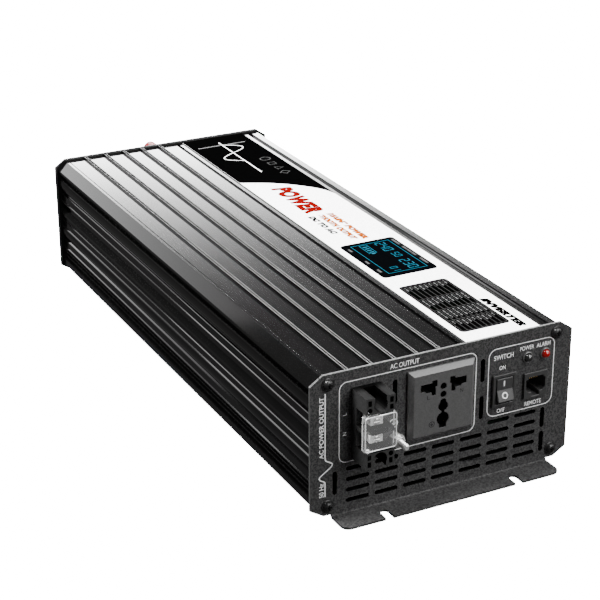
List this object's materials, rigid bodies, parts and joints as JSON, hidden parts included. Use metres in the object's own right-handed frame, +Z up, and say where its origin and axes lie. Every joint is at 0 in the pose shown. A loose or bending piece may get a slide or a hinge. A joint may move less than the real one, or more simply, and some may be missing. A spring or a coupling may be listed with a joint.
{
  "type": "power inverter",
  "caption": "DC to AC power inverter: a ribbed aluminium housing between two footed steel end panels, with a mains socket, wire terminals, rocker switch and display.",
  "frame": {"origin": "on the surface the feet stand on, at the centre of the whole object's box", "axes": "+Z up, +Y from the AC output panel back to the battery terminal panel, +X to the right when facing the AC output panel"},
  "size_m": [0.172, 0.4576, 0.0908],
  "materials": {
    "anodised": "gloss black anodised extrusion",
    "powder_coat": "fine textured dark grey powder coat on steel sheet",
    "label_film": "printed film, white and black, semi-gloss",
    "display_glass": "smoked acrylic window",
    "inner_dark": "ferrite and dark moulded parts",
    "socket_plastic": "dark grey thermoplastic, satin",
    "black_plastic": "black thermoplastic, satin",
    "clear_plastic": "clear moulded cover",
    "bright_steel": "bright zinc or nickel plated steel",
    "black_steel": "black oxide steel screws",
    "lamp_dark": "unlit smoked lens",
    "lamp_red": "red lens",
    "circuit_board": "green solder mask",
    "copper_winding": "enamelled copper wire",
    "capacitor_sleeve": "dark sleeve",
    "plain_aluminium": "plain extruded aluminium",
    "copper": "bare copper strip",
    "brass": "bare brass",
    "lead_red": "red PVC insulation",
    "lead_black": "black PVC insulation",
    "lead_grey": "grey insulation",
    "red_plastic": "red thermoplastic, gloss",
    "guard_steel": "bright plated wire",
    "fan_plastic": "black fan plastic"
  },
  "bodies": {
    "housing": {"upper_shell": "anodised", "lower_shell": "anodised", "front_panel": "powder_coat", "rear_panel": "powder_coat", "front_screw_1": "black_steel", "rear_screw_1": "black_steel", "front_screw_2": "black_steel", "rear_screw_2": "black_steel", "front_screw_3": "black_steel", "rear_screw_3": "black_steel", "front_screw_4": "black_steel", "rear_screw_4": "black_steel", "top_label": "label_film", "display_window": "display_glass", "display_module": "inner_dark", "ac_socket": "socket_plastic", "socket_contact_live": "brass", "socket_contact_neutral": "brass", "socket_contact_earth": "brass", "terminal_block": "black_plastic", "terminal_screw_live": "bright_steel", "terminal_screw_neutral": "bright_steel", "earth_stud": "bright_steel", "earth_nut": "bright_steel", "switch_frame": "black_plastic", "remote_jack": "black_plastic", "power_lamp": "lamp_dark", "alarm_lamp": "lamp_red", "fan_frame_left": "fan_plastic", "fan_guard_left": "guard_steel", "fan_frame_right": "fan_plastic", "fan_guard_right": "guard_steel", "dc_positive_stud": "brass", "dc_positive_base": "red_plastic", "positive_busbar": "copper", "dc_negative_stud": "brass", "dc_negative_base": "black_plastic", "negative_busbar": "copper", "main_board": "circuit_board", "transformer_1": "inner_dark", "transformer_2": "inner_dark", "transformer_3": "inner_dark", "output_choke": "copper_winding", "bulk_capacitor_1": "capacitor_sleeve", "bulk_capacitor_2": "capacitor_sleeve", "input_heatsink": "plain_aluminium", "output_heatsink": "plain_aluminium", "control_board": "circuit_board", "live_lead": "lead_red", "neutral_lead": "lead_black", "display_ribbon": "lead_grey", "switch_lead": "lead_black"},
    "rocker": {"switch_rocker": "black_plastic"},
    "cover_flap": {"terminal_cover": "clear_plastic"},
    "left_rotor": {"fan_rotor_left": "fan_plastic"},
    "right_rotor": {"fan_rotor_right": "fan_plastic"},
    "positive_lift": {"dc_positive_washer": "bright_steel"},
    "positive_knob": {"dc_positive_knob": "red_plastic"},
    "negative_lift": {"dc_negative_washer": "bright_steel"},
    "negative_knob": {"dc_negative_knob": "black_plastic"}
  },
  "joints": [
    {"name": "switch_rock", "type": "hinge", "parent": "housing", "child": "rocker", "pos_m": [0.0393, -0.20805, 0.0561], "axis": [1, 0, 0], "range_deg": [0, 20]},
    {"name": "cover_hinge", "type": "hinge", "parent": "housing", "child": "cover_flap", "pos_m": [-0.0584, -0.22585, 0.0582], "axis": [0, 0, -1], "range_deg": [0, 110]},
    {"name": "left_fan_spin", "type": "hinge", "parent": "housing", "child": "left_rotor", "pos_m": [-0.0458, 0.18575, 0.0468], "axis": [0, 1, 0], "continuous": true},
    {"name": "right_fan_spin", "type": "hinge", "parent": "housing", "child": "right_rotor", "pos_m": [0.0458, 0.18575, 0.0468], "axis": [0, 1, 0], "continuous": true},
    {"name": "positive_knob_lift", "type": "slide", "parent": "housing", "child": "positive_lift", "axis": [0, 1, 0], "range_m": [0, 0.00375]},
    {"name": "positive_knob_turn", "type": "hinge", "parent": "positive_lift", "child": "positive_knob", "pos_m": [0, 0.21375, 0.0798], "axis": [0, 1, 0], "range_deg": [0, 1080]},
    {"name": "negative_knob_lift", "type": "slide", "parent": "housing", "child": "negative_lift", "axis": [0, 1, 0], "range_m": [0, 0.00375]},
    {"name": "negative_knob_turn", "type": "hinge", "parent": "negative_lift", "child": "negative_knob", "pos_m": [0, 0.21375, 0.0378], "axis": [0, 1, 0], "range_deg": [0, 1080]}
  ],
  "couplings": [
    {"joint": "positive_knob_turn", "follows": "positive_knob_lift", "rad_per_m": 5026.5},
    {"joint": "negative_knob_turn", "follows": "negative_knob_lift", "rad_per_m": 5026.5}
  ]
}
